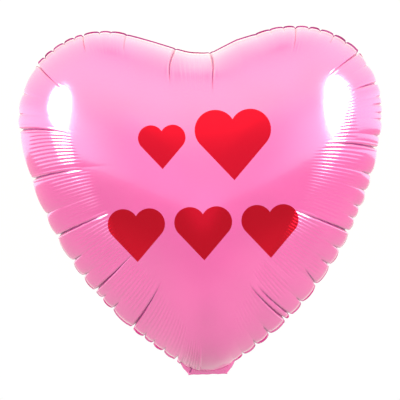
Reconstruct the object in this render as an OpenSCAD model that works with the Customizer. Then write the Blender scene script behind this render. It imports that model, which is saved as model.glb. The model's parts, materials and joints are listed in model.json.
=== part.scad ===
// Heart-shaped foil balloon, inflated, with its tail folded up behind it.
//
// Two heart-shaped foil sheets are heat-sealed to each other along a flat margin. A flat self-sealing
// valve of two films passes through the neck at the tip. The tail, which holds the filling mouth,
// turns about the fold at the foot of the neck.
//
// Frame: origin in the neck where a ribbon is tied, X to the right, Y to the back, Z up.

/* [Body] */
// Width of the inflated heart, over its margins
body_w = 363; // [302:1:436]
// Height from the neck to the tops of the lobes
body_h = 336; // [280:1:404]
// Thickness of the inflated heart, front to back
body_t = 164; // [136:1:198]
// Radius of each lobe's outline
lobe_r = 87; // [72:1:105]
// Angle below the horizontal where the side leaves the lobe
side_angle = 9; // [6:0.5:14]
// Slope of the shoulder that falls from the lobe to the notch
shoulder_slope = 18; // [14:0.5:22]
// Radius of the notch between the lobes
notch_r = 43; // [34:1:52]

/* [Sheets] */
// Thickness of each foil sheet
sheet_t = 0.3; // [0.2:0.05:0.5]
// Width of the flat sealed margin
margin_w = 6; // [5:0.5:8]

/* [Neck and tail] */
// Width where the neck leaves the heart
neck_top_w = 56; // [46:1:68]
// Width of the neck at the fold, and of the tail
neck_w = 39; // [32:1:47]
// Length of the neck, from the heart to the fold
neck_l = 10.5; // [8:0.5:13]
// Length of the tail, from the fold to its mouth
tail_l = 50; // [40:1:62]
// Free space between the fold's axis and the tail
fold_clearance = 0.3; // [0.2:0.1:0.6]
// Angle left free between the folded tail and the back of the heart
lean_clearance = 2; // [1:0.5:4]

/* [Valve] */
// Width of the valve films
valve_w = 26; // [20:1:31]
// Length of the valve films above the fold
valve_l = 116; // [90:1:140]
// Thickness of each valve film
film_t = 0.15; // [0.1:0.05:0.3]
// Free space beside the films in the neck
valve_clearance = 0.5; // [0.3:0.1:1]

/* [Print] */
// Width of the large printed heart
large_print_w = 74; // [60:1:89]
// Width of the small printed heart beside it
small_print_w = 46; // [38:1:56]
// Width of the three printed hearts in the lower row
row_print_w = 56; // [46:1:68]
// Gap between the printed hearts of a row
print_gap = 9; // [6:1:12]
// Height of the upper row above the thickest place of the heart
upper_row_rise = 27; // [22:1:34]
// Drop of the lower row below the thickest place of the heart
lower_row_drop = 58; // [48:1:70]
// How far the upper row stands to the right of the middle
upper_row_shift = 4; // [0:1:8]
// Thickness of the ink layer
ink_t = 0.1; // [0.1:0.05:0.2]
// Gap, square to the sheet, that keeps the faceted ink clear of the faceted sheet
ink_gap = 0.3; // [0.25:0.05:0.5]

/* [Hidden] */

foil_pink = [0.97, 0.52, 0.76];
back_pink = [0.93, 0.45, 0.70];
seal_pink = [0.90, 0.60, 0.76];
film_white = [0.93, 0.93, 0.95];
ink_red = [0.87, 0.03, 0.12];

// Steps along each stretch of the outline, and from the middle of a panel to its margin
bottom_steps = 2;
side_steps = 15;
lobe_steps = 13;
shoulder_steps = 4;
notch_steps = 2;
panel_rings = 12;
// Outline of a printed heart, as shares of its width: the radius of its lobes, and how far the middles
// of its lobes stand above its own middle and its tip below it
print_lobe_share = 0.27;
print_lobe_rise = 0.2;
print_tip_drop = 0.46;
print_lobe_steps = 9;
print_side_steps = 4;
print_rings = 5;
// Facets of the round corners of the valve films
corner_facets = 48;
// How far a cut runs past the edge that it cuts
overcut = 1;
// Step outwards over which the slope of the front sheet is taken
slope_step = 1;
// Height of the thickest place of the heart, as a share of its height
core_share = 0.56;
// Inflated section: a higher middle power makes the middle flatter, and a lower rim power makes the
// rim rounder. Towards the tip the rim power grows, as the heart gets slimmer there.
middle_power = 2.4;
rim_power = 0.6;
tip_power = 0.28;

// Outline: the lobe arc, the side arc that ends at the neck, and the notch arc that a straight
// shoulder joins to the lobe, all tangent to each other
lobe_c = [body_w / 2 - lobe_r, body_h - lobe_r];
side_start = lobe_c + lobe_r * [cos(side_angle), -sin(side_angle)];
neck_corner = [neck_top_w / 2, 0];
side_chord = neck_corner - side_start;
side_r = -(side_chord * side_chord) / (2 * side_chord * [cos(side_angle), -sin(side_angle)]);
side_c = side_start - side_r * [cos(side_angle), -sin(side_angle)];
notch_c = [0, lobe_c[1] + (lobe_r + notch_r - lobe_c[0] * sin(shoulder_slope)) / cos(shoulder_slope)];

// Layers through the margin, from the middle plane outwards
seal_half = film_t;
skin_half = seal_half + sheet_t;
panel_rise = body_t / 2 - skin_half;
// Thickest place of the heart, from which the rings of a panel are drawn
core = [0, core_share * body_h];
fold_z = -neck_l;
channel_w = valve_w + 2 * valve_clearance;

function arc(c, r, from, to, steps) =
    [for (i = [0 : steps]) let (a = from + (to - from) * i / steps) c + r * [cos(a), sin(a)]];
function tail_of(list) = [for (i = [1 : len(list) - 1]) list[i]];
function between(a, b, steps) = [for (i = [1 : steps - 1]) a + (b - a) * i / steps];

// Where the side arc, moved in by inset, reaches the height inset above the neck
function side_end_angle(inset) = asin((inset - side_c[1]) / (side_r - inset));
function side_end(inset) =
    side_c + (side_r - inset) * [cos(side_end_angle(inset)), sin(side_end_angle(inset))];

// Right half of the outline from the neck up to the notch, moved in by inset
function half_curve(inset) = concat(
    arc(side_c, side_r - inset, side_end_angle(inset), -side_angle, side_steps),
    tail_of(arc(lobe_c, lobe_r - inset, -side_angle, 90 + shoulder_slope, lobe_steps)),
    between(lobe_c + (lobe_r - inset) * [-sin(shoulder_slope), cos(shoulder_slope)],
            notch_c + (notch_r + inset) * [sin(shoulder_slope), -cos(shoulder_slope)], shoulder_steps),
    arc(notch_c, notch_r + inset, 270 + shoulder_slope, 270, notch_steps));

// Bottom edge from the middle to just before the corner, as wide as half_w and at the height z
function bottom_edge(half_w, z) = [for (i = [0 : bottom_steps]) [half_w * i / bottom_steps, z]];

function mirrored(half) = concat(half, [for (i = [len(half) - 2 : -1 : 1]) [-half[i][0], half[i][1]]]);
// The rim of the domed part of a sheet, and the whole sheet with its margin and neck
function dome_outline(inset) =
    mirrored(concat(bottom_edge(side_end(inset)[0] * neck_w / neck_top_w, inset), half_curve(inset)));
function sheet_outline() = mirrored(concat(bottom_edge(neck_w / 2, fold_z), half_curve(0)));

dome_rim = dome_outline(margin_w);
inner_rim = dome_outline(margin_w + sheet_t);
sheet_rim = sheet_outline();

// Rise of a panel at the share s of the way from the core to the point rim_p of its rim
function tip_share(rim_p) = max(0, (core[1] - rim_p[1]) / core[1]);
function rise(s, rim_p) =
    panel_rise * pow(1 - pow(s, middle_power), rim_power + tip_power * pow(tip_share(rim_p), 2));
function ring_share(k) = sin(90 * k / panel_rings);

// One foil sheet: the dome, the flat margin and its half of the neck, with the outside towards -Y.
// Its points are rings from the core outwards, first on the outside and then on the inside.
module foil_sheet() {
    n = len(dome_rim);
    outside = concat(
        [[core[0], -skin_half - panel_rise, core[1]]],
        [for (k = [1 : panel_rings]) each ring_points(dome_rim, ring_share(k), -skin_half)],
        ring_points(sheet_rim, 1, -skin_half));
    inside = concat(
        [[core[0], -seal_half - panel_rise, core[1]]],
        [for (k = [1 : panel_rings]) each ring_points(inner_rim, ring_share(k), -seal_half)],
        ring_points(sheet_rim, 1, -seal_half));
    half_count = len(outside);
    rings = panel_rings + 1;
    polyhedron(
        points = concat(outside, inside),
        faces = thick_disc_faces(n, rings, half_count));
}

// Points of one ring: the rim drawn in towards the core by the share s, and raised from the depth y
function ring_points(rim, s, y) =
    [for (p = rim) let (q = core + s * (p - core)) [q[0], y - rise(s, p), q[1]]];

// Triangles of a disc of rings of n points, whose middle point comes first
function disc_faces(n, rings) = concat(
    [for (i = [0 : n - 1]) [0, 1 + i, 1 + (i + 1) % n]],
    [for (k = [0 : rings - 2], i = [0 : n - 1])
        let (a = 1 + k * n + i, b = 1 + k * n + (i + 1) % n) each
        [[a, a + n, b + n], [a, b + n, b]]]);

// Triangles of a thick disc: its outside, its inside, which starts at the point number half_count,
// and the wall between them round the last ring
function thick_disc_faces(n, rings, half_count) = let (edge = half_count - n) concat(
    [for (f = disc_faces(n, rings)) [f[2], f[1], f[0]]],
    [for (f = disc_faces(n, rings)) [for (number = f) number + half_count]],
    [for (i = [0 : n - 1]) let (a = edge + i, b = edge + (i + 1) % n) each
        [[a, b + half_count, a + half_count], [a, b, b + half_count]]]);

module front_panel() {
    color(foil_pink) foil_sheet();
}

module back_panel() {
    color(back_pink) mirror([0, 1, 0]) foil_sheet();
}

// A flat layer in the plane of the margins, from the 2D shape of its front view
module layer(from_y, thickness) {
    translate([0, from_y + thickness, 0]) rotate([90, 0, 0]) linear_extrude(height = thickness) children();
}

// The fused inner layers of the two sheets, open where the valve passes through the neck
module heat_seal_border() {
    color(seal_pink) layer(-seal_half, 2 * seal_half) difference() {
        polygon(sheet_rim);
        polygon(inner_rim);
        translate([-channel_w / 2, fold_z - overcut])
            square([channel_w, neck_l + margin_w + sheet_t + 2 * overcut]);
    }
}

// One film of the flat valve, from the fold up into the heart, with rounded upper corners
module valve_film() {
    corner_r = valve_w / 4;
    translate([-valve_w / 2, fold_z]) square([valve_w, valve_l - corner_r]);
    translate([-valve_w / 2 + corner_r, fold_z + valve_l - corner_r])
        square([valve_w - 2 * corner_r, corner_r]);
    for (x = [-1, 1]) translate([x * (valve_w / 2 - corner_r), fold_z + valve_l - corner_r])
        intersection() {
            circle(r = corner_r, $fn = corner_facets);
            translate([x < 0 ? -corner_r : 0, 0]) square(corner_r);
        }
}

module valve_front_film() {
    color(film_white) layer(-film_t, film_t) valve_film();
}

module valve_back_film() {
    color(film_white) layer(0, film_t) valve_film();
}

// Share of the way from the core to the dome's rim at the point p: the edge of the rim that the ray
// through p crosses has both its ends' parts of p positive
function rim_share(p) =
    let (d = p - core, n = len(dome_rim), hair = 1e-9)
    max([for (i = [0 : n - 1])
        let (a = dome_rim[i] - core,
             b = dome_rim[(i + 1) % n] - core,
             from_a = cross(d, b) / cross(a, b),
             from_b = cross(a, d) / cross(a, b))
        if (from_a >= -hair && from_b >= -hair) from_a + from_b]);

// Depth of the front sheet's outside at the point p
function front_y(p) =
    let (s = rim_share(p)) -skin_half - rise(s, s > 0 ? core + (p - core) / s : core);

// Depth of a layer that stands clear of the front sheet's outside by the gap, square to the sheet
// where it slopes away from the core
function above_front_y(p, gap) =
    let (far = norm(p - core),
         fall = far > 0 ? front_y(p + (p - core) / far * slope_step) - front_y(p) : 0)
    front_y(p) - gap * norm([slope_step, fall]) / slope_step;

// Outline of a plain printed heart: straight sides from the tip and a round lobe on each side
function print_half(w) =
    let (r = print_lobe_share * w, c = [w / 2 - r, print_lobe_rise * w], tip = [0, -print_tip_drop * w],
         start = atan2(c[1] - tip[1], c[0] - tip[0]) + acos(r / norm(c - tip)) - 180,
         stop = 180 - acos(c[0] / r))
    concat([tip],
           between(tip, c + r * [cos(start), sin(start)], print_side_steps),
           arc(c, r, start, stop, print_lobe_steps));

// The ink of one printed heart at the point at, as a thin layer that follows the front sheet
module printed_heart(at, w) {
    rim = mirrored(print_half(w));
    flat = concat([at], [for (k = [1 : print_rings], p = rim) at + p * k / print_rings]);
    polyhedron(
        points = concat([for (p = flat) [p[0], above_front_y(p, ink_gap + ink_t), p[1]]],
                        [for (p = flat) [p[0], above_front_y(p, ink_gap), p[1]]]),
        faces = thick_disc_faces(len(rim), print_rings, len(flat)));
}

// A small and a large heart above, and a row of three below
module printed_hearts() {
    upper_z = core[1] + upper_row_rise;
    lower_z = core[1] - lower_row_drop;
    upper_left = upper_row_shift - (small_print_w + print_gap + large_print_w) / 2;
    color(ink_red) {
        printed_heart([upper_left + small_print_w / 2, upper_z], small_print_w);
        printed_heart([upper_left + small_print_w + print_gap + large_print_w / 2, upper_z],
                      large_print_w);
        for (i = [-1 : 1]) printed_heart([i * (row_print_w + print_gap), lower_z], row_print_w);
    }
}

// How far the folded tail leans from the vertical, so that it just clears the back of the heart
back_ridge = [for (k = [1 : panel_rings]) let (s = ring_share(k))
    [rise(s, [0, margin_w]), core[1] + s * (margin_w - core[1])]];
tail_lean = lean_clearance + max([for (p = back_ridge) atan2(p[0], p[1] - fold_z)]);
fold_angle = 180 - tail_lean;

// Turns what is drawn as a straight tail below the fold into the folded tail
module folded() {
    translate([0, skin_half, fold_z]) rotate([fold_angle, 0, 0]) translate([0, -skin_half, 0]) children();
}

// Front view of the straight tail, with its fold at height 0
module tail_sheet() {
    translate([-neck_w / 2, -tail_l]) square([neck_w, tail_l - fold_clearance]);
}

module tail_front_ply() {
    color(foil_pink) folded() layer(-skin_half, sheet_t) tail_sheet();
}

module tail_back_ply() {
    color(back_pink) folded() layer(seal_half, sheet_t) tail_sheet();
}

// The two sealed edges of the tail, with the filling channel between them
module tail_side_seals() {
    color(seal_pink) folded() layer(-seal_half, 2 * seal_half) difference() {
        tail_sheet();
        translate([-channel_w / 2, -tail_l - overcut]) square([channel_w, tail_l + 2 * overcut]);
    }
}

front_panel();
back_panel();
heat_seal_border();
valve_front_film();
valve_back_film();
printed_hearts();
tail_front_ply();
tail_back_ply();
tail_side_seals();
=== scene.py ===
# %% [markdown]
# # A heart-shaped foil balloon
#
# The balloon is two heart-shaped sheets of shiny film, sealed to each other along a flat margin and
# blown up through a flat valve in the neck. The engineering model comes first, as a fixed frame that
# says where everything is. The shapes below are then built around it, in metres, in the same place.

# %% Load the frame
import json
import math

import bmesh
import bpy
import numpy as np
from mathutils import Matrix, Vector


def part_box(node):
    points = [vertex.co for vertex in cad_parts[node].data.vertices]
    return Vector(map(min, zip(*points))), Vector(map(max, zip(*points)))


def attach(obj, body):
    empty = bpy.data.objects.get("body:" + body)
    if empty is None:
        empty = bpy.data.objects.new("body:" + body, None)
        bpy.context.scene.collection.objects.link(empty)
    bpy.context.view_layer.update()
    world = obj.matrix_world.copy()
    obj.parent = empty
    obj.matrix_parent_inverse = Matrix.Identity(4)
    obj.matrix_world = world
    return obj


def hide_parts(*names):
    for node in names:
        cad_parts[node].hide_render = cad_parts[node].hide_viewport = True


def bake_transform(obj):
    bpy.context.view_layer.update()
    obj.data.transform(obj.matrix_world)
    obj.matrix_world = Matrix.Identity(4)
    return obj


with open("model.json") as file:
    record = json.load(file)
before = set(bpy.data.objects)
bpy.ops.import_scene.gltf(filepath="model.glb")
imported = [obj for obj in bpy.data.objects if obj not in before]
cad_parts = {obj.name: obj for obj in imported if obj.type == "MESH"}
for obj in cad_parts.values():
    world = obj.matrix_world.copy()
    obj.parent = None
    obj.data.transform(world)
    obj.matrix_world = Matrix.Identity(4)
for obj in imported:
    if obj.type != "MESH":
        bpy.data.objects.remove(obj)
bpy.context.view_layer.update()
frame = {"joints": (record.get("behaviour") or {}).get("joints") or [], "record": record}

# %% [markdown]
# ## Sizes
#
# The overall sizes are read from the frame, so this file never disagrees with it. What is left are
# the sizes of the outline's arcs, as on the cutting pattern, and the sizes of creases and ripples.
# MM turns millimetres into Blender's metres.

# %% Sizes
MM = 0.001
MARGIN_LOW, MARGIN_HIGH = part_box("heat_seal_border")
HALF_WIDTH = MARGIN_HIGH.x
TOP_Z = MARGIN_HIGH.z
FOLD_Z = MARGIN_LOW.z
CAD_RISE = -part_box("front_panel")[0].y

LOBE_R = 87 * MM
SIDE_ANGLE = math.radians(9)
SHOULDER_SLOPE = math.radians(18)
NOTCH_R = 43 * MM
NECK_TOP_HALF = 28 * MM
NECK_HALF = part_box("tail_back_ply")[1].x
MARGIN = 6 * MM
GIRDLE = 0.8 * MM
BOWL_EDGE = 2.5 * MM
FILM = 0.35 * MM
CORE = np.array([0.0, 0.56 * TOP_Z])

# The tail runs from the hinge of its fold to its open mouth
MOUTH = next(mount for mount in frame["record"]["mounts"] if mount["name"] == "tail_mouth")
FOLD_Y, HINGE_Z = frame["joints"][0]["pos_m"][1:]
tail_line = np.array(MOUTH["pos_m"]) - np.array([0, FOLD_Y, HINGE_Z])
TAIL_LENGTH = float(np.linalg.norm(tail_line))
TAIL_ALONG = tail_line / TAIL_LENGTH
print("half width", round(HALF_WIDTH, 4), "top", round(TOP_Z, 4))
print("fold", round(FOLD_Z, 4), "rise", round(CAD_RISE, 4))

# %% [markdown]
# ## The outline
#
# A pattern cutter draws this heart with few lines: a round lobe, a long flat arc down to the neck,
# and a small soft notch that a straight shoulder joins to the lobe. Every line runs smoothly into
# the next, so the centres of the arcs follow from that. Moving the outline inwards is then exact:
# the radii only grow or shrink by the inset.

# %% The outline's arcs
LOBE_C = np.array([HALF_WIDTH - LOBE_R, TOP_Z - LOBE_R])
side_out = np.array([math.cos(SIDE_ANGLE), -math.sin(SIDE_ANGLE)])
side_start = LOBE_C + LOBE_R * side_out
side_chord = np.array([NECK_TOP_HALF, 0.0]) - side_start
SIDE_R = -(side_chord @ side_chord) / (2 * side_chord @ side_out)
SIDE_C = side_start - SIDE_R * side_out
notch_drop = LOBE_R + NOTCH_R - LOBE_C[0] * math.sin(SHOULDER_SLOPE)
NOTCH_C = np.array([0.0, LOBE_C[1] + notch_drop / math.cos(SHOULDER_SLOPE)])


def arc(centre, radius, start, stop, count):
    turn = np.linspace(start, stop, count + 1)
    return np.stack([centre[0] + radius * np.cos(turn), centre[1] + radius * np.sin(turn)], axis=1)


def line(a, b, count):
    return np.asarray(a) + (np.asarray(b) - np.asarray(a)) * np.linspace(0, 1, count + 1)[:, None]


# Spokes of the right half, from the middle of the neck up to the notch: 768 steps in all
BOTTOM_STEPS, FLARE_STEPS, SIDE_STEPS, LOBE_STEPS, SHOULDER_STEPS, NOTCH_STEPS = 26, 18, 391, 239, 76, 18


def half_outline(inset, neck=False):
    """Right half from the neck to the notch. With neck, it goes round the neck down to the fold."""
    low = math.asin((inset - SIDE_C[1]) / (SIDE_R - inset))
    corner = SIDE_C + (SIDE_R - inset) * np.array([math.cos(low), math.sin(low)])
    if neck:
        bottom = line((0, FOLD_Z), (NECK_HALF, FOLD_Z), BOTTOM_STEPS)
        flare = line((NECK_HALF, FOLD_Z), corner, FLARE_STEPS)
    else:
        # The inflated part ends in the neck in a shallow bowl, which is a parabola
        across = np.linspace(0, corner[0], BOTTOM_STEPS + FLARE_STEPS + 1)
        height = FOLD_Z + BOWL_EDGE + (corner[1] - FOLD_Z - BOWL_EDGE) * (across / corner[0]) ** 2
        bowl = np.stack([across, height], axis=1)
        bottom, flare = bowl[:BOTTOM_STEPS + 1], bowl[BOTTOM_STEPS:]
    side = arc(SIDE_C, SIDE_R - inset, low, -SIDE_ANGLE, SIDE_STEPS)
    lobe = arc(LOBE_C, LOBE_R - inset, -SIDE_ANGLE, math.pi / 2 + SHOULDER_SLOPE, LOBE_STEPS)
    notch = arc(NOTCH_C, NOTCH_R + inset, 1.5 * math.pi + SHOULDER_SLOPE, 1.5 * math.pi, NOTCH_STEPS)
    shoulder = line(lobe[-1], notch[0], SHOULDER_STEPS)
    return np.concatenate([bottom, flare[1:], side[1:], lobe[1:], shoulder[1:], notch[1:]])


def whole_outline(inset, neck=False):
    """Anticlockwise from the middle of the neck, seen from the front."""
    half = half_outline(inset, neck)
    return np.concatenate([half, (half * [-1, 1])[::-1][1:-1]])


OUTER = whole_outline(0.0, neck=True)
RIM = whole_outline(GIRDLE)
SPOKES = len(OUTER)
print(SPOKES, "spokes; side arc radius", round(SIDE_R, 3), "notch at z", round(NOTCH_C[1] - NOTCH_R, 4))

# %% [markdown]
# ## Where each spoke lies along the margin
#
# Creases are easiest to place by their distance along the margin from the notch, to the right as
# positive and to the left as negative, just as a tape would be laid round the real balloon.

# %% Distance along the margin
along_step = np.linalg.norm(np.roll(OUTER, -1, axis=0) - OUTER, axis=1)
HALF = SPOKES // 2
from_notch = np.concatenate([[0.0], np.cumsum(along_step[:HALF][::-1])])[::-1]
PLACE = np.concatenate([from_notch, -from_notch[::-1][1:-1]])
NECK_PLACE = PLACE[BOTTOM_STEPS + FLARE_STEPS]
print("margin is", round(2 * NECK_PLACE, 3), "m round, from neck to neck")

# %% [markdown]
# ## Puckers
#
# Flat film can't become round without gathering: the margin of a 45 cm heart is a fifth too long for
# the inflated outline. It gathers in puckers. Between two puckers the film swells into a small
# pillow, which is what gives the balloon its scalloped edge. A few puckers run far into the face as
# creases, and the others end within a thumb's width.
#
# One row is one pucker: its place along the margin, how far it reaches into the face, how deep it is
# at the margin and how far it leans along the margin over its reach, all in millimetres.

# %% The list of puckers
PUCKERS = [
    (-551, 8, 3.6, 3), (-532, 14, 4.2, 0), (-516, 12, 1.8, 0), (-503, 10, 1.6, 0), (-492, 9, 1.6, 0),
    (-477, 66, 3.8, 2), (-450, 14, 2.0, 0), (-435, 9, 1.4, 0), (-425, 62, 3.8, 1), (-406, 11, 1.8, 0),
    (-388, 16, 2.2, 0), (-358, 66, 4.2, -4), (-334, 9, 1.3, 0), (-296, 58, 4.0, -3), (-245, 55, 4.0, -5),
    (-230, 8, 1.3, 0), (-208, 9, 1.6, 0), (-175, 40, 3.4, -7), (-164, 7, 1.3, 0), (-153, 8, 1.4, 0),
    (-140, 8, 1.3, 0), (-128, 7, 1.2, 0), (-118, 26, 2.2, -3), (-101, 7, 1.2, 0), (-89, 7, 1.2, 0),
    (-73, 26, 1.5, 0), (-22, 50, 3.2, -6), (11, 58, 3.2, 2), (60, 7, 0.9, 0), (75, 8, 1.2, 0),
    (89, 8, 1.2, 0), (102, 34, 2.0, 0), (116, 7, 1.2, 0), (128, 8, 1.3, 0), (143, 16, 1.4, 0),
    (157, 8, 1.4, 0), (173, 42, 3.4, -4), (188, 9, 1.7, 0), (209, 32, 2.8, -1), (223, 8, 1.3, 0),
    (231, 14, 1.6, 0), (240, 8, 1.3, 0), (247, 7, 1.2, 0), (263, 9, 1.6, 0), (275, 58, 4.2, 1),
    (302, 14, 2.2, 0), (319, 9, 1.5, 0), (336, 9, 1.6, 0), (349, 9, 1.4, 0), (363, 66, 4.2, 5),
    (383, 11, 1.8, 0), (401, 15, 2.1, 0), (425, 24, 2.2, -6), (448, 11, 1.8, 0), (465, 54, 2.6, 6),
    (471, 62, 3.6, 7), (493, 16, 2.2, 0), (510, 12, 2.0, 0), (526, 9, 1.4, 0),
]
PUCKER_AT = np.array([row[0] for row in PUCKERS]) * MM
PUCKER_REACH = np.array([row[1] for row in PUCKERS]) * MM
PUCKER_DEPTH = np.array([row[2] for row in PUCKERS]) * MM
PUCKER_LEAN = np.array([row[3] for row in PUCKERS]) * MM
# Each pucker moves onto the nearest spoke, so that its bottom is sharp
PUCKER_AT = PLACE[np.abs(PLACE[None, :] - PUCKER_AT[:, None]).argmin(axis=1)]
LONG_REACH = 30 * MM
print(len(PUCKERS), "puckers,", int((PUCKER_REACH > LONG_REACH).sum()), "of them long creases")

# %% [markdown]
# ## Pillows and grooves
#
# The height of a pillow is a rounded arch between two puckers. A groove is a parabola that comes to
# a sharp point at its pucker, because two pillows press against each other there. A real fold isn't
# perfectly sharp either, so the point is rounded by a fraction of a millimetre.

# %% Pillow and groove fields
FOLD_ROUNDING = 0.25 * MM
PILLOW_DECAY = 0.4
# Half width of the broad dip beside a pucker, and of the sharp fold in its middle
DIP_HALF_WIDTH = 8 * MM
FOLD_HALF_WIDTH = 1.45 * MM
LIP_AT = 2.5 * MM
LIP_WIDTH = 1.0 * MM
LIP_SHARE = 0.16
DIP_SHARE = 0.27
# From this depth on a pucker has lips, and its fold gets the full painted shade
DEEP_PUCKER = 2.5 * MM
# Half width of the line of painted shade along a fold
SHADE_HALF_WIDTH = 0.75 * MM

edges = np.concatenate([[-NECK_PLACE], PUCKER_AT, [NECK_PLACE]])
gap_number = np.clip(np.searchsorted(edges, PLACE) - 1, 0, len(edges) - 2)
GAP = np.diff(edges)[gap_number]
GAP_SHARE = np.clip((PLACE - edges[gap_number]) / GAP, 0, 1)
IN_NECK = np.abs(PLACE) > NECK_PLACE


def smooth_step(low, high, value):
    share = np.clip((value - low) / (high - low), 0, 1)
    return share * share * (3 - 2 * share)


def along_margin(values):
    """Blends (place in mm, value) pairs into one value for each spoke."""
    places, amounts = zip(*values)
    return np.interp(PLACE, np.array(places) * MM, amounts)


# The film is taut beside the notch and slack at the sides, where the pillows grow big
PILLOW_MOST = along_margin([
    (-537, 3.0), (-300, 3.0), (-235, 2.0), (-200, 0.9), (-60, 0.7), (0, 0.3), (60, 0.7), (190, 1.1),
    (240, 2.2), (300, 3.0), (537, 3.0)]) * MM
PILLOW = (4 * GAP_SHARE * (1 - GAP_SHARE)) ** 0.6 * np.minimum(0.16 * GAP, PILLOW_MOST)
PILLOW[IN_NECK] = 0.0
# The edge stands out of the cutting line where the film is slack, and lies inside it where it is taut
EDGE_SHIFT = along_margin([
    (-537, 0), (-400, 1), (-220, 1), (-150, -1), (0, -1), (15, -3), (40, 0), (100, -2), (140, 0),
    (200, 2.5), (450, 2.5), (537, 0)]) * MM
EDGE_SHIFT_REACH = 22 * MM
# Beside the notch a crease starts inside the margin, which stays straight
NEAR_NOTCH = along_margin([(-110, 0), (-85, 1), (80, 1), (115, 0)])


def puckered(reach_in):
    """How far the film stands out of its smooth shape, for each spoke, at the distance reach_in."""
    height = PILLOW * np.exp(-np.maximum(reach_in, 0) / (PILLOW_DECAY * GAP + 3 * MM))
    height = height + EDGE_SHIFT * np.exp(-np.maximum(reach_in, 0) / EDGE_SHIFT_REACH)
    taut = 1 - 0.8 * NEAR_NOTCH * (1 - smooth_step(1 * MM, 9 * MM, reach_in))
    for at, reach, depth, lean in zip(PUCKER_AT, PUCKER_REACH, PUCKER_DEPTH, PUCKER_LEAN):
        left = np.clip(1 - np.maximum(reach_in, 0) / reach, 0, 1)
        gaps = np.diff(edges)[np.searchsorted(edges, at) - 1:][:2]
        off = np.sqrt((PLACE - at - lean * (1 - left)) ** 2 + FOLD_ROUNDING ** 2)
        dip = np.clip(1 - off / min(DIP_HALF_WIDTH, 0.6 * gaps.min()), 0, 1) ** 2
        fold = np.clip(1 - off / (FOLD_HALF_WIDTH * (0.35 + 0.65 * left)), 0, 1)
        drop = DIP_SHARE * left ** 1.5 * dip + (1 - DIP_SHARE) * left ** 0.5 * fold
        if depth > DEEP_PUCKER:
            drop = drop - LIP_SHARE * left ** 0.5 * np.exp(-((off - LIP_AT) / LIP_WIDTH) ** 2)
        height = height - depth * drop * taut
    return height


def fold_shade(reach_in):
    """How much painted shade each spoke gets at the distance reach_in, from 0 to 1: a darker line along each
    fold.
    """
    shade = np.zeros(SPOKES)
    for at, reach, depth, lean in zip(PUCKER_AT, PUCKER_REACH, PUCKER_DEPTH, PUCKER_LEAN):
        left = np.clip(1 - np.maximum(reach_in, 0) / reach, 0, 1)
        strong = np.clip(depth / DEEP_PUCKER, 0, 1) * smooth_step(0, 0.4, left)
        off = np.abs(PLACE - at - lean * (1 - left))
        shade = np.maximum(shade, strong * np.clip(1.25 - off / SHADE_HALF_WIDTH, 0, 0.85))
    return shade


def top_edge_shade(reach_in):
    """Painted shade along the top: a slightly darker band and line just inside the edge, where the seal
    ends.
    """
    top = along_margin([(-200, 0), (-150, 1), (150, 1), (200, 0)])
    band = 0.26 * (1 - smooth_step(4 * MM, 7 * MM, reach_in))
    return top * (band + 0.22 * np.exp(-((reach_in - 5 * MM) / (1.1 * MM)) ** 2))


# %% [markdown]
# ## Ripples
#
# Further in, the film is pulled tight from margin to margin and has a little too much length the
# other way, so it stands in fine parallel ripples, about 4 mm from crest to crest. They are about
# a fifth of a millimetre high, but a mirror-like film shows every one.

# %% Ripple field
RIPPLE_PITCH = 4.1 * MM
RIPPLE_HEIGHT = 0.21 * MM
# From and to along the margin, how near and how far from it in the face, all in millimetres, and strength
RIPPLE_ZONES = [
    (-536, -480, 12, 60, 0.9), (-474, -428, 16, 62, 1.0), (-421, -361, 18, 64, 1.0),
    (-354, -299, 20, 64, 0.5), (-292, -248, 14, 58, 1.2), (-120, -76, 8, 34, 0.25), (-19, 9, 8, 52, 0.9),
    (95, 112, 6, 40, 0.35), (196, 272, 30, 50, 0.6), (278, 360, 16, 66, 0.36), (366, 440, 26, 68, 1.0),
    (394, 432, 8, 26, 1.2), (440, 468, 22, 66, 1.1), (474, 520, 30, 60, 0.35),
]


def ripples(reach_in, phase):
    """Height of the ripples for each spoke, at the distance reach_in from the seam."""
    strength = np.zeros(SPOKES)
    for start, stop, near, far, amount in RIPPLE_ZONES:
        along = smooth_step(start * MM, start * MM + RIPPLE_PITCH, PLACE)
        along = along * (1 - smooth_step(stop * MM - RIPPLE_PITCH, stop * MM, PLACE))
        inward = smooth_step(near * MM - 6 * MM, near * MM + 8 * MM, reach_in)
        inward = inward * (1 - smooth_step(far * MM - 12 * MM, far * MM + 4 * MM, reach_in))
        strength = np.maximum(strength, amount * along * inward)
    wander = 0.9 * np.sin(PLACE / (31 * MM) + phase) + 0.6 * np.sin(PLACE / (13 * MM) + 2 * phase)
    waves = RIPPLE_HEIGHT * strength * np.cos(2 * math.pi * PLACE / RIPPLE_PITCH + wander)
    # Pleats of the neck, where the film is gathered most, on one side of the channel only
    pleats = smooth_step(-562, -559.5, PLACE / MM) * (1 - smooth_step(-546, -532, PLACE / MM))
    pleats = pleats * smooth_step(3, 9, reach_in / MM) * (1 - smooth_step(28, 54, reach_in / MM))
    ledge = smooth_step(-561.8, -560.4, PLACE / MM) * (1 - smooth_step(-560, -538, PLACE / MM))
    ledge = ledge * smooth_step(0, 6, reach_in / MM) * (1 - smooth_step(20, 52, reach_in / MM))
    return waves + (0.5 * pleats * np.cos(2 * math.pi * PLACE / (3.3 * MM) + 2 * wander) + 1.8 * ledge) * MM


# %% [markdown]
# ## The inflated section
#
# From the seam to the thickest place, a sheet follows a superellipse: upright at the seam, flat in
# the middle. Rings of points are laid along it, close together at the margin, where the puckers are,
# and wider apart in the smooth middle. The last place to be thin is the tip above the neck.

# %% Rings of the section
MIDDLE_POWER = 2.4
RIM_POWER = 0.6
TIP_POWER = 0.28
SHEET_RISE = CAD_RISE - 1.0 * MM
CURL_HEIGHT = 13 * MM
NECK_OPEN = 2.4 * MM
MARGIN_RINGS = 5

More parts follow.
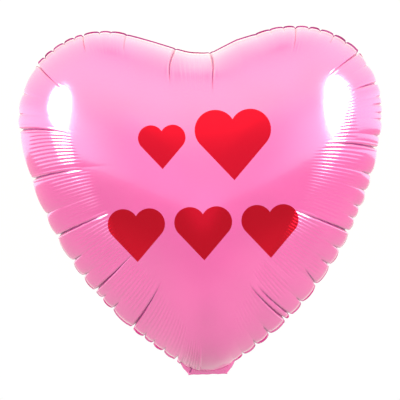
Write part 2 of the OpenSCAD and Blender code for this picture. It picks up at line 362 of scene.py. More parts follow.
TYPICAL_SPOKE = 0.178
turn = np.linspace(0, math.pi / 2, 4001)
section_s = np.cos(turn) ** (2 / MIDDLE_POWER)
section_y = np.sin(turn) ** (2 * RIM_POWER)
section_steps = np.hypot(np.diff(section_s) * TYPICAL_SPOKE, np.diff(section_y) * SHEET_RISE)
section_length = np.concatenate([[0], np.cumsum(section_steps)])
steps = [0.0]
while steps[-1] < section_length[-1] - 6 * MM:
    done = steps[-1]
    stride = 0.6 + 1.2 * smooth_step(0, 14 * MM, done) + 3.4 * smooth_step(105 * MM, 150 * MM, done)
    steps.append(done + stride * MM)
RING_SHARE = np.interp(steps, section_length, section_s)
print(len(steps), "rings from the seam to the middle, along", round(section_length[-1], 3), "m of film")


def spoke_step(share):
    """Every how many spokes a ring at this share has a point: rings get shorter towards the middle."""
    return 1 if share > 0.6 else 2 if share > 0.36 else 4 if share > 0.2 else 8 if share > 0.1 else 16


# %% [markdown]
# ## Spokes
#
# Film gathers at right angles to its margin. So a spoke starts square to the seam and then bends
# towards the thickest place, as a curve with one control point.

# %% Spokes of a sheet
tangent = np.roll(RIM, -1, axis=0) - np.roll(RIM, 1, axis=0)
inward = np.stack([-tangent[:, 1], tangent[:, 0]], axis=1)
inward /= np.linalg.norm(inward, axis=1)[:, None]
SMOOTHING = 24
window = np.hanning(2 * SMOOTHING + 3)[1:-1]
window /= window.sum()
for axis in (0, 1):
    wrapped = np.concatenate([inward[-SMOOTHING:, axis], inward[:, axis], inward[:SMOOTHING, axis]])
    inward[:, axis] = np.convolve(wrapped, window, mode="valid")
inward /= np.linalg.norm(inward, axis=1)[:, None]
INWARD = inward
LENGTH = np.linalg.norm(CORE - RIM, axis=1)
STRAIGHT_SHARE = 0.42
straight = STRAIGHT_SHARE * LENGTH
towards_middle = -INWARD[:, 0] * np.sign(RIM[:, 0])
# No spoke runs straight on as far as the middle line
longest = 0.7 * np.abs(RIM[:, 0]) / np.maximum(towards_middle, 0.05)
straight = np.where(towards_middle > 0.05, np.minimum(straight, longest), straight)
for _ in range(3):
    wrapped = np.concatenate([straight[-SMOOTHING:], straight, straight[:SMOOTHING]])
    straight = np.convolve(wrapped, window, mode="valid")
BEND = RIM + INWARD * straight[:, None]
TIP_SHARE = np.clip((CORE[1] - RIM[:, 1]) / CORE[1], 0, 1)
# 1 in the neck, fading to 0 beside it
IN_TIP = smooth_step(NECK_PLACE - 8 * MM, NECK_PLACE + 8 * MM, np.abs(PLACE))


def smooth_sheet(share):
    """Points of one ring of the smooth sheet, with Y as the rise off the middle plane."""
    inner = 1 - share
    flat = (1 - inner) ** 2 * RIM + 2 * inner * (1 - inner) * BEND + inner ** 2 * CORE
    power = RIM_POWER + TIP_POWER * TIP_SHARE ** 2
    rise = SHEET_RISE * (1 - share ** MIDDLE_POWER) ** power
    curl = (MARGIN - GIRDLE) * np.clip(1 - rise / CURL_HEIGHT, 0, 1) ** 2 * (1 - IN_TIP)
    rise = np.hypot(rise, NECK_OPEN * IN_TIP * share)
    flat = flat + INWARD * curl[:, None]
    return np.stack([flat[:, 0], rise, flat[:, 1]], axis=1)


# How far the margin is drawn in behind the pillows
MARGIN_HIDDEN = along_margin([
    (-540, 2.0), (-300, 2.0), (-280, 3.0), (-185, 3.0), (-172, 0.0), (-60, -0.2), (172, -0.2), (182, 2.4),
    (272, 2.4), (300, 2.0), (540, 2.0)]) * MM
# Keeps the mean edge on the cutting line, although the pillows stand out of it
RIM_SHIFT = float((PILLOW * 0.7).mean())
# How strongly the margin is painted darker as shade: most beside the notch, seen edge on, least at the
# sides, lying flat
MARGIN_SHADE = along_margin([
    (-540, 0.1), (-290, 0.15), (-200, 0.6), (-170, 1.0), (170, 1.0), (200, 0.6), (290, 0.15), (540, 0.1)])
# Over how many spokes to each side a ring is evened out, at most
MOST_ROUNDING = 110
MARGIN_WAVE = 0.9 * MM


def rounded_ring(ring, share):
    """Evens a ring out along itself, more and more towards the middle, as taut film does."""
    reach = int(MOST_ROUNDING * smooth_step(0.02, 0.4, 1 - share))
    if reach < 2:
        return ring
    weights = np.hanning(2 * reach + 1)
    weights /= weights.sum()
    wrapped = np.concatenate([ring[-reach:], ring, ring[:reach]])
    return np.stack([np.convolve(wrapped[:, axis], weights, mode="valid") for axis in range(3)], axis=1)


def clear_of_tail(ring):
    """Presses the back sheet in behind the neck, where the folded tail lies against it."""
    x, y, z = ring.T
    spare = (0.6 + 2.4 * smooth_step(0, 12 * MM, z - FOLD_Z)) * MM
    limit = FOLD_Y + ((z - FOLD_Z) * TAIL_ALONG[1] - spare) / TAIL_ALONG[2]
    limit = np.maximum(limit, 0.6 * MM)
    # Beside the tail and above its mouth the sheet swells out again, along a slope
    beside = np.maximum(np.abs(x) - NECK_HALF - 1 * MM, 0)
    above = np.maximum(z - MOUTH["pos_m"][2], 0)
    limit = limit + 0.9 * beside + 1.5 * above
    # A soft minimum of the sheet's own rise and the limit
    soft = np.minimum(0.35 * limit, 2.5 * MM)
    pressed = -soft * np.log(np.exp(-(y - limit) / soft) + 1) + limit
    return np.stack([x, np.where(y < limit - 8 * soft, y, pressed), z], axis=1)


def sheet_rings(side, phase):
    """Rings of one sheet, from the cut edge to the middle. side is -1 in front and 1 at the back."""
    smooth = np.stack([rounded_ring(smooth_sheet(share), share) for share in RING_SHARE])
    along = np.roll(smooth, -1, axis=1) - np.roll(smooth, 1, axis=1)
    inward_step = np.gradient(smooth, axis=0)
    normal = np.cross(inward_step, along)
    normal /= np.linalg.norm(normal, axis=2)[:, :, None] + 1e-12
    outward = smooth - np.array([0, 0, CORE[1]])
    normal *= np.sign((normal * outward).sum(axis=2))[:, :, None]
    normal[0] = np.stack([-INWARD[:, 0], np.zeros(SPOKES), -INWARD[:, 1]], axis=1)
    # Puckers, pillows and ripples move each point along the smooth sheet's normal
    rings = []
    for ring, share in enumerate(RING_SHARE):
        reach_in = (1 - share) * LENGTH
        height = puckered(reach_in) + ripples(reach_in, phase)
        rings.append(smooth[ring] + normal[ring] * height[:, None])
    wave = MARGIN_WAVE * np.sin(math.pi * (gap_number + GAP_SHARE)) * (1 - IN_TIP)
    seam_ring = rings[0]
    margin = []
    # The cut edge follows the puckers, and is drawn in at them more than the film beside it is
    rim_move = puckered(np.zeros(SPOKES)) - EDGE_SHIFT
    rim_move = np.where(rim_move < 0, 1.4 * rim_move, rim_move) + EDGE_SHIFT - RIM_SHIFT - MARGIN_HIDDEN
    outer = OUTER - INWARD * (rim_move * (1 - IN_TIP))[:, None]
    for k in range(MARGIN_RINGS):
        share = k / MARGIN_RINGS
        flat = outer + (seam_ring[:, [0, 2]] - outer) * share
        lift = wave * side * (1 - share)
        margin.append(np.stack([flat[:, 0], FILM + lift + NECK_OPEN * IN_TIP * share, flat[:, 1]], axis=1))
    rings = margin + rings
    rings[MARGIN_RINGS][:, 1] = FILM + NECK_OPEN * IN_TIP
    if side > 0:
        rings = [clear_of_tail(ring) for ring in rings]
    for ring in rings:
        ring[:, 1] *= side
    return rings


def sheet_mesh(name, side, phase):
    rings = sheet_rings(side, phase)
    shares = [1.0] * MARGIN_RINGS + list(RING_SHARE)
    points, numbers = [], []
    for ring, share in zip(rings, shares):
        step = spoke_step(share)
        numbers.append((len(points), step))
        points.extend(ring[::step].tolist())
    faces = []
    for (first, step), (nxt, wider) in zip(numbers, numbers[1:]):
        count, inner_count = SPOKES // step, SPOKES // wider
        ratio = wider // step
        for j in range(inner_count):
            edge = [first + (ratio * j + m) % count for m in range(ratio + 1)]
            faces.append(edge + [nxt + (j + 1) % inner_count, nxt + j])
    first, step = numbers[-1]
    count = SPOKES // step
    middle = len(points)
    points.append([0, side * SHEET_RISE, CORE[1]])
    faces += [[first + j, first + (j + 1) % count, middle] for j in range(count)]
    if side > 0:
        faces = [face[::-1] for face in faces]
    mesh = bpy.data.meshes.new(name)
    mesh.from_pydata(points, [], faces)
    mesh.update()
    margin, painted_fold_shades = [], []
    for k, (ring, share) in enumerate(zip(rings, shares)):
        step = spoke_step(share)
        # A line of painted shade along each fold
        shade = fold_shade((1 - share) * LENGTH)[::step]
        # The margin and a band just inside the top edge are painted darker, as shade
        edge = max(0.0, 1 - k / MARGIN_RINGS) * MARGIN_SHADE * (1 - IN_TIP)
        margin += np.maximum(edge, top_edge_shade((1 - share) * LENGTH))[::step].tolist()
        painted_fold_shades += shade.tolist()
    for attribute, values in (("margin", margin + [0.0]), ("fold", painted_fold_shades + [0.0])):
        mesh.attributes.new(attribute, "FLOAT", "POINT").data.foreach_set("value", values)
    mesh.polygons.foreach_set("use_smooth", [True] * len(mesh.polygons))
    piece = bpy.data.objects.new(name, mesh)
    bpy.context.scene.collection.objects.link(piece)
    print(name, len(points), "points,", sum(len(face) - 2 for face in faces), "triangles")
    return piece


FRONT_PHASE, BACK_PHASE = 0.3, 1.7
front_foil = sheet_mesh("front_foil", -1, FRONT_PHASE)
back_foil = sheet_mesh("back_foil", 1, BACK_PHASE)


# %% [markdown]
# ## The sealed margin
#
# Along the margin the two sheets are one: a hot tool has melted their inner layers together. The
# bead is a thin strip that follows the same waves. It could be a solidified copy of the margin, but
# a tube of five points round, swept along the spokes, closes the gap and rounds the cut edge in one.

# %% Seal strip
def swept_loops(name, loops, cap=False):
    """A closed tube: each loop is one turn of points, and the loops follow each other in a ring."""
    count, size = len(loops), len(loops[0])
    points = [tuple(point) for loop in loops for point in loop]
    last = count - 1 if cap else count
    faces = []
    for i in range(last):
        for j in range(size):
            a, b = i * size + j, i * size + (j + 1) % size
            c, d = ((i + 1) % count) * size + (j + 1) % size, ((i + 1) % count) * size + j
            faces.append((a, b, c, d))
    if cap:
        faces += [tuple(range(size))[::-1], tuple(range(last * size, count * size))]
    mesh = bpy.data.meshes.new(name)
    mesh.from_pydata(points, [], faces)
    editor = bmesh.new()
    editor.from_mesh(mesh)
    bmesh.ops.recalc_face_normals(editor, faces=editor.faces)
    editor.to_mesh(mesh)
    editor.free()
    mesh.polygons.foreach_set("use_smooth", [True] * len(mesh.polygons))
    piece = bpy.data.objects.new(name, mesh)
    bpy.context.scene.collection.objects.link(piece)
    print(name, len(points), "points")
    return piece


SEAL_HALF = FILM - 0.05 * MM
CUT_EDGE = 0.25 * MM
front_rings = sheet_rings(-1, FRONT_PHASE)
edge, seam = front_rings[0], front_rings[MARGIN_RINGS]
loops = []
for k in range(SPOKES):
    beyond = edge[k] - np.array([INWARD[k, 0], 0, INWARD[k, 1]]) * CUT_EDGE
    middle_y = edge[k][1] + FILM
    turn = [(seam[k], -SEAL_HALF, 0.0), (edge[k], -SEAL_HALF, middle_y), (beyond, 0.0, middle_y),
            (edge[k], SEAL_HALF, middle_y), (seam[k], SEAL_HALF, 0.0)]
    loops.append([(at[0], middle + off, at[2]) for at, off, middle in turn])
# The neck's channel stays open
loops = [loop for k, loop in enumerate(loops) if abs(PLACE[k]) < NECK_PLACE + 8 * MM]
seal_strip = swept_loops("seal_strip", loops, cap=True)

# %% [markdown]
# ## Valve leaves
#
# Gas goes in between two limp leaves of clear film and presses them shut from inside. They hang
# free in the balloon, so they are two slightly curled sheets that lie against each other.

# %% Valve leaves
def grid_sheet(name, across_count, along_count, place):
    """A sheet from place(a, b), with a from -1 to 1 across it and b from 0 to 1 along it."""
    bpy.ops.object.select_all(action="DESELECT")
    bpy.ops.mesh.primitive_grid_add(x_subdivisions=across_count, y_subdivisions=along_count, size=2)
    sheet = bpy.context.object
    sheet.name = name
    for vertex in sheet.data.vertices:
        vertex.co = place(vertex.co.x, (vertex.co.y + 1) / 2)
    sheet.data.polygons.foreach_set("use_smooth", [True] * len(sheet.data.polygons))
    return sheet


def thicken(sheet, thickness, offset):
    solid = sheet.modifiers.new("thickness", "SOLIDIFY")
    solid.thickness, solid.offset = thickness, offset
    bpy.context.view_layer.objects.active = sheet
    bpy.ops.object.modifier_apply(modifier=solid.name)


VALVE_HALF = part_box("valve_front_film")[1].x
VALVE_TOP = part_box("valve_front_film")[1].z
VALVE_LOW = FOLD_Z + 0.3 * MM
VALVE_CORNER = 6.5 * MM


def valve_leaf(name, side):
    def place(a, b):
        z = VALVE_LOW + (VALVE_TOP - VALVE_LOW) * b
        from_top = max(0.0, 1 - (VALVE_TOP - z) / VALVE_CORNER)
        half = VALVE_HALF - VALVE_CORNER * (1 - math.sqrt(1 - min(from_top, 0.999) ** 2))
        free = smooth_step(FOLD_Z + 10 * MM, VALVE_TOP, z)
        curl = 5.0 * MM * free * (1 - 0.35 * a * a) + 1.1 * MM * free * math.sin(7 * b + 2.5 * a)
        return (a * half, curl + side * (0.08 * MM + 0.25 * MM * free * (1 - a * a)), z)
    leaf = grid_sheet(name, 24, 96, place)
    thicken(leaf, 0.1 * MM, 0)
    return leaf


valve_front_leaf = valve_leaf("valve_front_leaf", -1)
valve_back_leaf = valve_leaf("valve_back_leaf", 1)

# %% [markdown]
# ## The tail
#
# The tail is the stub of the two sheets through which the balloon was filled. It is folded up behind
# the neck. A local frame makes it easy: X across, and the distance from the fold along the direction
# in which the mouth points. The two plies part a little in the middle, where the gas went through,
# and they are cockled from handling.

# %% Tail plies and their sealed sides
# Square to the tail, towards the back of the heart
TAIL_OUT = np.array([0, -TAIL_ALONG[2], TAIL_ALONG[1]])
TAIL_START = 2.0 * MM
TAIL_SEAL = 5.5 * MM
print("tail", round(TAIL_LENGTH, 4), "m long, along", [round(v, 3) for v in TAIL_ALONG])


def tail_point(x, along, out):
    return np.array([x, 0, 0]) + np.array([0, FOLD_Y, FOLD_Z]) + TAIL_ALONG * along + TAIL_OUT * out


def tail_bend(x, along):
    """Cockles of the flat tail, the same for both plies."""
    free = smooth_step(TAIL_START, 14 * MM, along)
    cockle = 0.5 * math.sin(along / (5.5 * MM) + 0.9 * math.sin(x / (9 * MM)))
    ruck = 0.35 * math.cos(x / (4.2 * MM) + along / (17 * MM))
    return (cockle + ruck) * MM * free


def tail_ply(name, side):
    def place(a, b):
        along = TAIL_START + (TAIL_LENGTH - TAIL_START) * b
        x = a * NECK_HALF
        middle = max(0.0, 1 - (x / (NECK_HALF - TAIL_SEAL)) ** 2)
        part = (0.25 + 0.9 * middle ** 0.8 * smooth_step(TAIL_START, 12 * MM, along)) * MM
        return tail_point(x, along, tail_bend(x, along) + side * part)
    ply = grid_sheet(name, 64, 80, place)
    thicken(ply, 0.12 * MM, 0)
    return ply


tail_outer_ply = tail_ply("tail_outer_ply", -1)
tail_inner_ply = tail_ply("tail_inner_ply", 1)


def tail_seal(name, side):
    """The film between the plies at one side. Each station goes across on one face and back on the other."""
    across = [side * (NECK_HALF - 0.05 * MM - TAIL_SEAL * step / 12) for step in range(13)]
    stations = []
    for k in range(61):
        along = TAIL_START + (TAIL_LENGTH - TAIL_START - 0.2 * MM) * k / 60
        turn = [tail_point(x, along, tail_bend(x, along) - 0.16 * MM) for x in across]
        turn += [tail_point(x, along, tail_bend(x, along) + 0.16 * MM) for x in across[::-1]]
        stations.append(turn)
    return swept_loops(name, stations, cap=True)


tail_seals = [tail_seal("tail_seal_left", -1), tail_seal("tail_seal_right", 1)]

# %% [markdown]
# ## Round the fold
#
# The film runs on round the fold, from the neck into the tail. It is one sleeve, built where the tail
# lies folded: its front end lies on the neck, its far end on the tail, and what lies between them
# turns round the fold.

# %% Fold sleeve
# The share of the sleeve's length that lies on the neck, and as much again on the tail
SLEEVE_END = 0.3
SLEEVE_ON_NECK = 3.0 * MM
SLEEVE_ON_TAIL = 4.0 * MM
FOLD_RADIUS = 0.5 * MM


def sleeve_turn(share):
    """Middle line of the film round the fold, in Y and Z, and its outward direction."""
    fold = np.array([FOLD_Y, FOLD_Z])
    if share < SLEEVE_END:
        above = SLEEVE_ON_NECK * (1 - share / SLEEVE_END)
        return np.array([-0.05 * MM, FOLD_Z + above]), np.array([-1.0, 0.0])
    if share < 1 - SLEEVE_END:
        lean = math.atan2(TAIL_ALONG[1], TAIL_ALONG[2])
        turn = (share - SLEEVE_END) / (1 - 2 * SLEEVE_END) * (math.pi - lean)
        out = np.array([-math.cos(turn), -math.sin(turn)])
        return fold + out * FOLD_RADIUS, out
    along = SLEEVE_ON_TAIL * (share - 1 + SLEEVE_END) / SLEEVE_END
    out = -TAIL_OUT[1:]
    return fold + TAIL_ALONG[1:] * along + out * FOLD_RADIUS, out


def sleeve_ruck(x):
    """Small rucks across the fold."""
    return 0.16 * MM * math.cos(x / (1.6 * MM)) + 0.1 * MM * math.cos(x / (2.9 * MM) + 1)


across = [NECK_HALF * (2 * step / 32 - 1) for step in range(33)]
stations = []
for k in range(41):
    centre, out = sleeve_turn(k / 40)
    turn = [(x, *(centre + out * (0.55 * MM + sleeve_ruck(x)))) for x in across]
    turn += [(x, *(centre + out * 0.3 * MM)) for x in across[::-1]]
    stations.append(turn)
fold_sleeve = swept_loops("fold_sleeve", stations, cap=True)


# %% [markdown]
# ## Shader helpers
#
# A shader tree is built by adding nodes and linking sockets. These few functions do that in one line
# each, so that the materials below read like formulas.

# %% Shader helpers
def group_node(tree, kind, **values):
    node = tree.nodes.new(kind)
    for name, value in values.items():
        setattr(node, name, value)
    return node


def calculate(tree, operation, *inputs):
    """A Math node with its inputs linked or set, which gives back its output."""
    node = group_node(tree, "ShaderNodeMath", operation=operation)
    for socket, value in zip(node.inputs, inputs):
        if isinstance(value, (int, float)):
            socket.default_value = value
        else:
            tree.links.new(value, socket)
    return node.outputs[0]


def new_material(name):
    material = bpy.data.materials.new(name)
    material.use_nodes = True
    return material, material.node_tree.nodes, material.node_tree.links


def mix_colour(tree, factor, first, second):
    """Mixes two colours, each given as a colour or as an output socket, by the factor socket."""
    node = group_node(tree, "ShaderNodeMix", data_type="RGBA")
    tree.links.new(factor, node.inputs["Factor"])
    for socket, value in ((node.inputs["A"], first), (node.inputs["B"], second)):
        if isinstance(value, tuple):
            socket.default_value = value
        else:
            tree.links.new(value, socket)
    return node.outputs["Result"]


def map_range(tree, value, start, stop, low, high):
    node = group_node(tree, "ShaderNodeMapRange", interpolation_type="SMOOTHSTEP")
    tree.links.new(value, node.inputs["Value"])
    for name, amount in (("From Min", start), ("From Max", stop), ("To Min", low), ("To Max", high)):
        node.inputs[name].default_value = amount
    return node.outputs["Result"]


def new_group(name, inputs, outputs):
    """An empty node group, with the names and kinds of its sockets."""
    tree = bpy.data.node_groups.new(name, "ShaderNodeTree")
    for socket, kind in inputs.items():
        tree.interface.new_socket(socket, in_out="INPUT", socket_type="NodeSocket" + kind)
    for socket, kind in outputs.items():
        tree.interface.new_socket(socket, in_out="OUTPUT", socket_type="NodeSocket" + kind)
    return tree, tree.nodes.new("NodeGroupInput").outputs, tree.nodes.new("NodeGroupOutput").inputs


# %% [markdown]
# ## Printed hearts
#
# The print is ink on the film, so it has no edge to feel. It is a mask in the film's own colour: a
# shader node group that answers, for a place on the face, whether it lies inside a heart of a given
# centre and width. Half a heart is a circle and a wedge whose straight side touches the circle.

# %% A node group for one printed heart
LOBE_SHARE = 0.27
LOBE_RISE = 0.20
TIP_DROP = 0.46


def heart_group():
    sockets = {name: "Float" for name in ("X", "Z", "Centre X", "Centre Z", "Width")}
    tree, given, result = new_group("printed_heart", sockets, {"Mask": "Float"})

    def work_out(operation, *inputs):
        return calculate(tree, operation, *inputs)

    # The place in widths of the heart, with the left half folded onto the right one
    across = work_out("DIVIDE", work_out("SUBTRACT", given["X"], given["Centre X"]), given["Width"])
    up = work_out("DIVIDE", work_out("SUBTRACT", given["Z"], given["Centre Z"]), given["Width"])
    lobe_x = 0.5 - LOBE_SHARE
    from_x = work_out("SUBTRACT", work_out("ABSOLUTE", across), lobe_x)
    from_z = work_out("SUBTRACT", up, LOBE_RISE)
    square = work_out("ADD", work_out("MULTIPLY", from_x, from_x), work_out("MULTIPLY", from_z, from_z))
    in_lobe = work_out("LESS_THAN", square, LOBE_SHARE ** 2)
    # The straight side runs from the tip to where it touches the lobe, at this angle round the lobe
    rise = LOBE_RISE + TIP_DROP
    touch = math.atan2(rise, lobe_x) + math.acos(LOBE_SHARE / math.hypot(rise, lobe_x)) - math.pi
    side_x = work_out("MULTIPLY", from_x, math.cos(touch))
    side_z = work_out("MULTIPLY", from_z, math.sin(touch))
    in_side = work_out("LESS_THAN", work_out("ADD", side_x, side_z), LOBE_SHARE)
    below_touch = work_out("LESS_THAN", from_z, LOBE_SHARE * math.sin(touch))
    inner_side = work_out("LESS_THAN", from_x, 0.0)
    below_lobe = work_out("MULTIPLY", work_out("LESS_THAN", from_z, 0.0), inner_side)
    wedge = work_out("MULTIPLY", in_side, work_out("MAXIMUM", below_touch, below_lobe))
    tree.links.new(work_out("MAXIMUM", in_lobe, wedge), result["Mask"])
    return tree


HEART_GROUP = heart_group()

# %% The printed hearts' places
PRINT_LOW, PRINT_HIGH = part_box("printed_hearts")
LARGE, SMALL, ROW, PRINT_GAP = 74 * MM, 46 * MM, 56 * MM, 9 * MM
UPPER_Z = PRINT_HIGH.z - (LOBE_RISE + LOBE_SHARE) * LARGE
LOWER_Z = PRINT_LOW.z + TIP_DROP * ROW
UPPER_LEFT = 4 * MM - (SMALL + PRINT_GAP + LARGE) / 2
PRINTS = [
    (UPPER_LEFT + SMALL / 2, UPPER_Z, SMALL),
    (UPPER_LEFT + SMALL + PRINT_GAP + LARGE / 2, UPPER_Z, LARGE),
]
PRINTS += [(k * (ROW + PRINT_GAP), LOWER_Z, ROW) for k in (-1, 0, 1)]
print("printed hearts at", [tuple(round(v, 3) for v in row) for row in PRINTS])


# %% [markdown]
# ## The film
#
# Every sheet is the same film: a mirror of aluminium under pink lacquer, with a clear top layer. It
# is nearly a mirror where it is folded or printed, and softer elsewhere, because the lacquer scatters
# light. A node group gives the three things that change over the sheet: its colour, how metallic it is
# and how thick its clear coat is. Its colour carries painted shade too: each fold and the margin are
# painted a deep purple. The shader stays in the material.

# %% Node group for the colour, painted shade and shine of the film
FOIL_PINK = (0.76, 0.024, 0.36, 1)
FOIL_DEEP = (0.70, 0.015, 0.33, 1)
# Deep purple, painted along each fold and along the margin as shade
SHADE_PURPLE = (0.16, 0.003, 0.16, 1)
INK_RED = (0.70, 0.007, 0.028, 1)


def film_tone_group():
    tree, given, result = new_group(
        "film_tone", {"Cloud": "Float", "Fold": "Float", "Margin": "Float", "Ink": "Float"},
        {"Colour": "Color", "Metallic": "Float", "Coat": "Float"})
    colour = mix_colour(tree, given["Cloud"], FOIL_PINK, FOIL_DEEP)
    colour = mix_colour(tree, given["Ink"], colour, INK_RED)
    # The fold and margin masks paint shade: they darken the colour towards the deep purple
    edge = calculate(tree, "MULTIPLY", given["Margin"], 0.8)
    painted_shade = calculate(tree, "MAXIMUM", given["Fold"], edge)
    mirror = calculate(tree, "MAXIMUM", painted_shade, given["Ink"])
    tree.links.new(mix_colour(tree, painted_shade, colour, SHADE_PURPLE), result["Colour"])
    tree.links.new(calculate(tree, "MULTIPLY_ADD", mirror, 0.8, 0.2), result["Metallic"])
    tree.links.new(calculate(tree, "SUBTRACT", 1.0, mirror), result["Coat"])
    return tree


# %% [markdown]
# ## Unevenness of thin film
#
# Rolled film is never quite flat or evenly lacquered. This group is placed in every material of the
# balloon, with a size of its own. It gives a height for a Bump node and a cloud from 0 to 1 that varies the
# colour and the roughness.

# %% Node group for the unevenness of film
def film_waver_group():
    tree, given, result = new_group(
        "film_waver", {"Place": "Vector", "Size": "Float"}, {"Height": "Float", "Cloud": "Float"})
    layers = []
    for factor, detail in ((1.0, 1.0), (5.0, 2.0)):
        noise = group_node(tree, "ShaderNodeTexNoise")
        tree.links.new(given["Place"], noise.inputs["Vector"])
        tree.links.new(calculate(tree, "MULTIPLY", given["Size"], factor), noise.inputs["Scale"])
        noise.inputs["Detail"].default_value = detail
        layers.append(noise.outputs["Fac"])
    fine = calculate(tree, "MULTIPLY", layers[1], 0.12)
    tree.links.new(calculate(tree, "ADD", layers[0], fine), result["Height"])
    tree.links.new(map_range(tree, layers[0], 0.3, 0.7, 0.0, 1.0), result["Cloud"])
    return tree


FILM_TONE = film_tone_group()
FILM_WAVER = film_waver_group()


def add_waver(tree, size, depth, rough_low, rough_high):
    """Puts the unevenness into a material: its bump and its roughness. Gives back the cloud."""
    shader = tree.nodes["Principled BSDF"]
    waver = group_node(tree, "ShaderNodeGroup", node_tree=FILM_WAVER)
    tree.links.new(tree.nodes.new("ShaderNodeTexCoord").outputs["Object"], waver.inputs["Place"])
    waver.inputs["Size"].default_value = size
    bump = group_node(tree, "ShaderNodeBump")
    bump.inputs["Distance"].default_value = depth
    tree.links.new(waver.outputs["Height"], bump.inputs["Height"])
    tree.links.new(bump.outputs["Normal"], shader.inputs["Normal"])
    roughness = map_range(tree, waver.outputs["Cloud"], 0.0, 1.0, rough_low, rough_high)
    tree.links.new(roughness, shader.inputs["Roughness"])
    return waver.outputs["Cloud"]


# %% Foil material
def print_mask(tree):
    """1 where one of the printed hearts is, at the places of the engineering model."""
    parts = tree.nodes.new("ShaderNodeSeparateXYZ")
    tree.links.new(tree.nodes.new("ShaderNodeTexCoord").outputs["Object"], parts.inputs[0])
    masks = []
    for centre_x, centre_z, width in PRINTS:
        heart = group_node(tree, "ShaderNodeGroup", node_tree=HEART_GROUP)
        tree.links.new(parts.outputs["X"], heart.inputs["X"])
        tree.links.new(parts.outputs["Z"], heart.inputs["Z"])
        heart.inputs["Centre X"].default_value = centre_x
        heart.inputs["Centre Z"].default_value = centre_z
        heart.inputs["Width"].default_value = width
        masks.append(heart.outputs["Mask"])
    printed = masks[0]
    for mask in masks[1:]:
        printed = calculate(tree, "MAXIMUM", printed, mask)
    return printed


def foil_material(name, printed):
    foil, nodes, links = new_material(name)
    tree = foil.node_tree
    shader = nodes["Principled BSDF"]
    shader.inputs["IOR"].default_value = 2.8
    shader.inputs["Coat Roughness"].default_value = 0.04
    # Film seen along its surface is paler, because its clear top layer scatters light there
    shader.inputs["Sheen Weight"].default_value = 0.8
    shader.inputs["Sheen Roughness"].default_value = 0.35
    shader.inputs["Sheen Tint"].default_value = (1.0, 0.9, 0.97, 1)
    tone = group_node(tree, "ShaderNodeGroup", node_tree=FILM_TONE)
    links.new(add_waver(tree, 16.0, 0.25 * MM, 0.14, 0.17), tone.inputs["Cloud"])
    # The fold and margin attributes are masks of painted shade
    for attribute, socket in (("fold", "Fold"), ("margin", "Margin")):
        reader = group_node(tree, "ShaderNodeAttribute", attribute_name=attribute)
        links.new(reader.outputs["Fac"], tone.inputs[socket])
    if printed:
        links.new(print_mask(tree), tone.inputs["Ink"])
    links.new(tone.outputs["Colour"], shader.inputs["Base Color"])
    links.new(tone.outputs["Metallic"], shader.inputs["Metallic"])
    links.new(tone.outputs["Coat"], shader.inputs["Coat Weight"])
    return foil


# %% [markdown]
# ## Seal and valve film
#
# The heat seal carries the fine grid of the tool that pressed it: two crossed sets of bars, as a
# height. The valve leaves are clear film, so they let most of the light through.

# %% Seal and valve materials
def seal_material():
    seal, nodes, links = new_material("seal_film")
    tree = seal.node_tree
    shader = nodes["Principled BSDF"]
    cloud = add_waver(tree, 60.0, 0.05 * MM, 0.24, 0.36)
    bars = []
    for direction in ("X", "Z"):
        wave = group_node(tree, "ShaderNodeTexWave", bands_direction=direction)
        wave.inputs["Scale"].default_value = 240
        links.new(nodes.new("ShaderNodeTexCoord").outputs["Object"], wave.inputs["Vector"])
        bars.append(wave.outputs["Fac"])
    grid = calculate(tree, "MULTIPLY", bars[0], bars[1])
    press = group_node(tree, "ShaderNodeBump")
    press.inputs["Distance"].default_value = 0.04 * MM
    links.new(grid, press.inputs["Height"])
    links.new(nodes["Bump"].outputs["Normal"], press.inputs["Normal"])
    links.new(press.outputs["Normal"], shader.inputs["Normal"])
    ground = mix_colour(tree, cloud, (0.62, 0.14, 0.33, 1), (0.52, 0.09, 0.27, 1))
    colour = mix_colour(tree, calculate(tree, "MULTIPLY", grid, 0.5), ground, (0.72, 0.28, 0.46, 1))
    links.new(colour, shader.inputs["Base Color"])
    shader.inputs["Metallic"].default_value = 0.5
    return seal


def valve_material():
    valve, nodes, links = new_material("valve_clear")
    tree = valve.node_tree
    shader = nodes["Principled BSDF"]
    cloud = add_waver(tree, 90.0, 0.2 * MM, 0.12, 0.3)
    colour = mix_colour(tree, cloud, (0.93, 0.93, 0.95, 1), (0.80, 0.80, 0.85, 1))
    links.new(colour, shader.inputs["Base Color"])
    shader.inputs["Transmission Weight"].default_value = 0.7
    shader.inputs["IOR"].default_value = 1.5
    return valve


# %% [markdown]
# ## Film, body and node of every piece
#
# Each piece rides on the body that moves it, says which film it is made of, and names the nodes of the
# engineering model whose place it takes. The sleeve round the fold only gets its film, and rides on no body.

# %% Give every piece its film
for piece, node, printed in ((front_foil, "front_panel", True), (back_foil, "back_panel", False)):
    piece.data.materials.append(foil_material(node + "_foil", printed))
    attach(piece, "root")
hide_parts("front_panel", "printed_hearts")
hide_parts("back_panel")

tail_foil = foil_material("tail_foil", False)
seal_foil = seal_material()
valve_clear = valve_material()

for piece, body, slot, material, nodes_for in (
        (seal_strip, "root", "seal_edge", seal_foil, ["heat_seal_border"]),
        (valve_front_leaf, "root", "valve_film", valve_clear, ["valve_front_film"]),
        (valve_back_leaf, "root", "valve_film", valve_clear, ["valve_back_film"]),
        (tail_outer_ply, "tail", "foil_pink", tail_foil, ["tail_front_ply"]),
        (tail_inner_ply, "tail", "foil_pink", tail_foil, ["tail_back_ply"]),
        (tail_seals[0], "tail", "seal_edge", seal_foil, ["tail_side_seals"]),
        (tail_seals[1], "tail", "seal_edge", seal_foil, [])):
    piece.data.materials.append(material)
    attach(piece, body)
    if nodes_for:
        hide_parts(*nodes_for)
# The sleeve round the fold gets the tail's film
fold_sleeve.data.materials.append(tail_foil)
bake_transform(fold_sleeve)

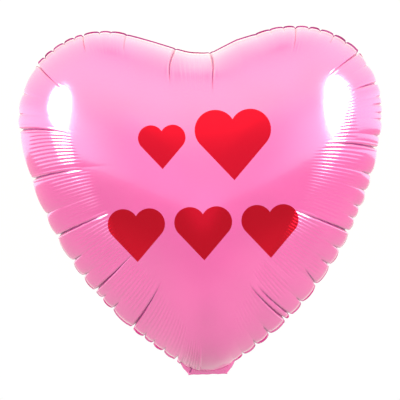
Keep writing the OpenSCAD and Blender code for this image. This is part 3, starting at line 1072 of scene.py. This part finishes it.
# %% [markdown]
# ## Camera, light and floor
#
# The camera looks straight at the front with a long lens, rolled a little. A bright room lights the
# balloon, and two softboxes give it its hot patches. A mirror-like film shows the whole room, so the
# brightness of the walls matters more than the lamps do.

# %% Camera, light and floor
DISTANCE = 2.4
EYE_X, EYE_Z = -0.0024, 0.163
ROLL = math.radians(-1.8)
FRAME_WIDTH = 0.400
SENSOR_WIDTH = 36

camera_data = bpy.data.cameras.new("camera")
camera = bpy.data.objects.new("camera", camera_data)
bpy.context.scene.collection.objects.link(camera)
bpy.context.scene.camera = camera
camera.location = (EYE_X, -DISTANCE, EYE_Z)
level_view = Matrix.Rotation(math.radians(90), 3, "X")
camera.rotation_euler = (level_view @ Matrix.Rotation(ROLL, 3, "Z")).to_euler()
camera_data.lens = SENSOR_WIDTH * DISTANCE / FRAME_WIDTH
bpy.context.scene.view_settings.view_transform = "Standard"

world = bpy.data.worlds.new("studio")
bpy.context.scene.world = world
world.use_nodes = True
sky, links = world.node_tree, world.node_tree.links
direction = group_node(sky, "ShaderNodeSeparateXYZ")
links.new(sky.nodes.new("ShaderNodeTexCoord").outputs["Generated"], direction.inputs[0])
ramp = group_node(sky, "ShaderNodeFloatCurve")
curve = ramp.mapping.curves[0]
# Brightness over the height of the direction: 0 straight down, 0.5 level, 1 straight up
for place, level in ((0.0, 0.51), (0.4, 0.51), (0.5, 0.51), (0.75, 0.85), (0.92, 0.9), (1.0, 0.6)):
    if place in (0.0, 1.0):
        curve.points[0 if place == 0.0 else -1].location = (place, level)
    else:
        curve.points.new(place, level)
ramp.mapping.update()
up = calculate(sky, "MULTIPLY_ADD", direction.outputs["Z"], 0.5, 0.5)
links.new(up, ramp.inputs["Value"])
# The side walls are lit a little more than the wall in front
sideways = map_range(sky, calculate(sky, "ABSOLUTE", direction.outputs["X"]), 0.25, 0.85, 0.0, 0.8)
level = map_range(sky, calculate(sky, "ABSOLUTE", direction.outputs["Z"]), 0.05, 0.4, 1.0, 0.0)
walls = calculate(sky, "MULTIPLY", sideways, level)
plain = calculate(sky, "MULTIPLY", ramp.outputs["Value"], 2.0)
strength = calculate(sky, "ADD", plain, walls)
links.new(strength, sky.nodes["Background"].inputs["Strength"])
# The lamps overhead are a little warmer than the white wall
warmth = group_node(sky, "ShaderNodeMapRange")
links.new(direction.outputs["Z"], warmth.inputs["Value"])
warmth.inputs["From Min"].default_value = -0.05
warmth.inputs["From Max"].default_value = 0.5
tint = mix_colour(sky, warmth.outputs["Result"], (1.0, 1.0, 1.0, 1), (1.0, 0.97, 0.74, 1))
links.new(tint, sky.nodes["Background"].inputs["Color"])

bpy.ops.mesh.primitive_circle_add(vertices=96, radius=6, fill_type="NGON", location=(0, 0, -0.6))
floor = bpy.context.object
floor.name = "floor"
paper, nodes, links = new_material("floor_paper")
nodes["Principled BSDF"].inputs["Base Color"].default_value = (0.38, 0.38, 0.43, 1)
nodes["Principled BSDF"].inputs["Roughness"].default_value = 0.9
floor.data.materials.append(paper)


def softbox(name, place, target, width, height, power):
    light = bpy.data.lights.new(name, "AREA")
    light.shape = "ELLIPSE"
    light.size, light.size_y, light.energy = width, height, power
    light.color = (1.0, 0.97, 0.86)
    lamp = bpy.data.objects.new(name, light)
    bpy.context.scene.collection.objects.link(lamp)
    lamp.location = place
    lamp.rotation_euler = (Vector(target) - Vector(place)).to_track_quat("-Z", "Y").to_euler()
    return lamp


softbox("left_softbox", (-1.3, -0.68, 0.67), (-0.1, 0, 0.2), 0.54, 0.98, 12)
softbox("right_softbox", (1.3, -0.72, 0.63), (0.1, 0, 0.2), 0.64, 1.12, 15)
